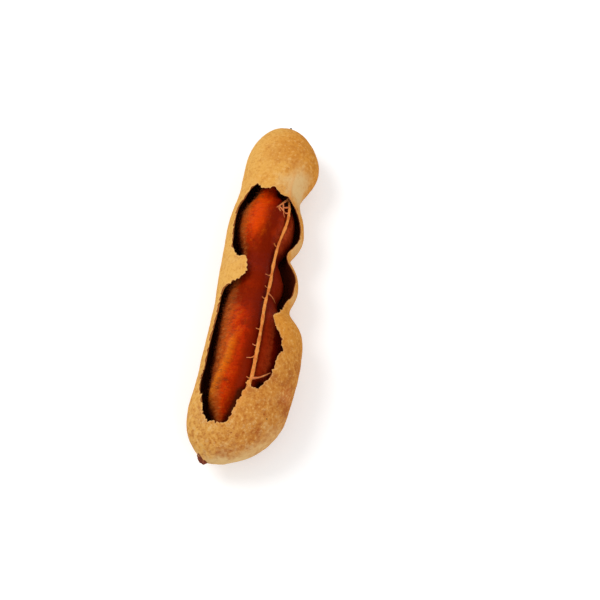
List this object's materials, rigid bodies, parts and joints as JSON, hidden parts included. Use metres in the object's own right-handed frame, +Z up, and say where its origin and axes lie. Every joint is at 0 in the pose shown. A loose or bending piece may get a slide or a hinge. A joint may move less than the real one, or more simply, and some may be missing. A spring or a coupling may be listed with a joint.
{
  "type": "tamarind pod",
  "caption": "Ripe tamarind pod lying on its side, its brittle shell broken open along the top over sticky lobed pulp and a pale fibre strand.",
  "frame": {"origin": "on the surface the pod rests on, under the middle of its bounding box", "axes": "+Y from the stalk end to the tip, +Z up through the broken opening, +X towards the scalloped edge"},
  "size_m": [0.031, 0.1196, 0.0252],
  "materials": {
    "shell": "dry, scurfy, matte tan-brown husk, darker and smoother inside",
    "pulp": "sticky, glossy, slightly clear red-brown flesh",
    "fibre": "pale orange-tan stringy fibre, slightly moist",
    "stalk": "dry dark brown wood with a rough broken end"
  },
  "bodies": {
    "root": {"shell": "shell", "pulp": "pulp", "fibre_strand": "fibre", "stalk_stub": "stalk"}
  },
  "joints": []
}
